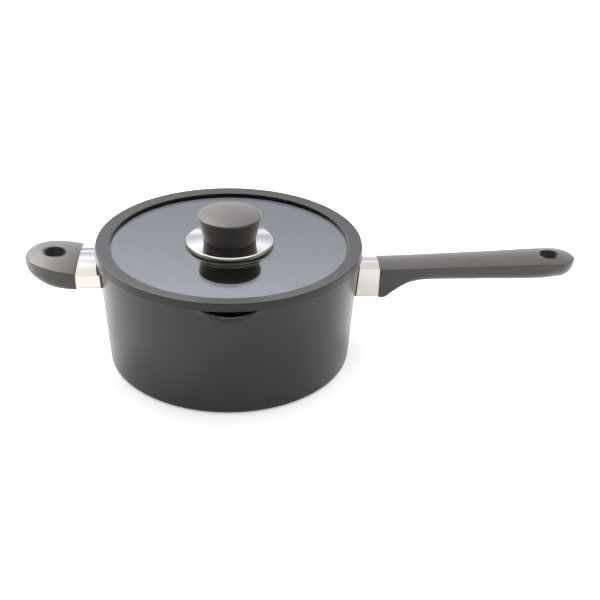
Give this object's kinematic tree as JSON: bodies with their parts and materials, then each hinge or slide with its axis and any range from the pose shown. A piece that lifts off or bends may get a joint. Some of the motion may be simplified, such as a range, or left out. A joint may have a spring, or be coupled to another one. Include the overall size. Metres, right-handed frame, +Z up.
{
  "type": "saucepan with lid",
  "caption": "Deep dark saucepan with a long handle, a wide helper handle, pouring lips and a flat glass lid with a round knob.",
  "frame": {"origin": "centre of the base, on the surface that the pan stands on", "axes": "+X along the long handle, away from the pan; +Y towards the rear pouring lip; +Z up, along the pan's axis"},
  "size_m": [0.4455, 0.223, 0.1243],
  "materials": {
    "dark_enamel": "cast aluminium with a smooth semi-gloss dark grey coating, inside and out",
    "steel_plate": "turned stainless steel",
    "bracket_coat": "dark satin coating",
    "polished_steel": "mirror polished stainless steel",
    "grip_phenolic": "fine-grained satin phenolic, dark warm grey",
    "screw_steel": "plain stainless steel",
    "rim_silicone": "satin grey-black silicone",
    "lid_glass": "clear tempered glass",
    "brass_insert": "plain brass",
    "seal_silicone": "black silicone"
  },
  "bodies": {
    "pan": {"pan_body": "dark_enamel", "base_plate": "steel_plate", "handle_bracket": "bracket_coat", "handle_ferrule": "polished_steel", "handle_grip": "grip_phenolic", "handle_screw": "screw_steel", "handle_washer": "screw_steel", "helper_bracket": "bracket_coat", "helper_ferrule": "polished_steel", "helper_grip": "grip_phenolic", "helper_screw_front": "screw_steel", "helper_washer_front": "screw_steel", "helper_screw_rear": "screw_steel", "helper_washer_rear": "screw_steel"},
    "lid_carrier": {"knob_screw": "screw_steel"},
    "lid": {"lid_glass": "lid_glass", "lid_rim": "rim_silicone", "knob_disc": "polished_steel", "knob": "grip_phenolic", "knob_insert": "brass_insert", "upper_gasket": "seal_silicone", "lower_gasket": "seal_silicone", "knob_washer": "screw_steel"}
  },
  "joints": [
    {"name": "lid_lift", "type": "slide", "parent": "pan", "child": "lid_carrier", "axis": [0, 0, 1], "range_m": [0, 0.15]},
    {"name": "lid_turn", "type": "hinge", "parent": "lid_carrier", "child": "lid", "pos_m": [0, 0, 0.0973], "axis": [0, 0, 1], "continuous": true}
  ]
}
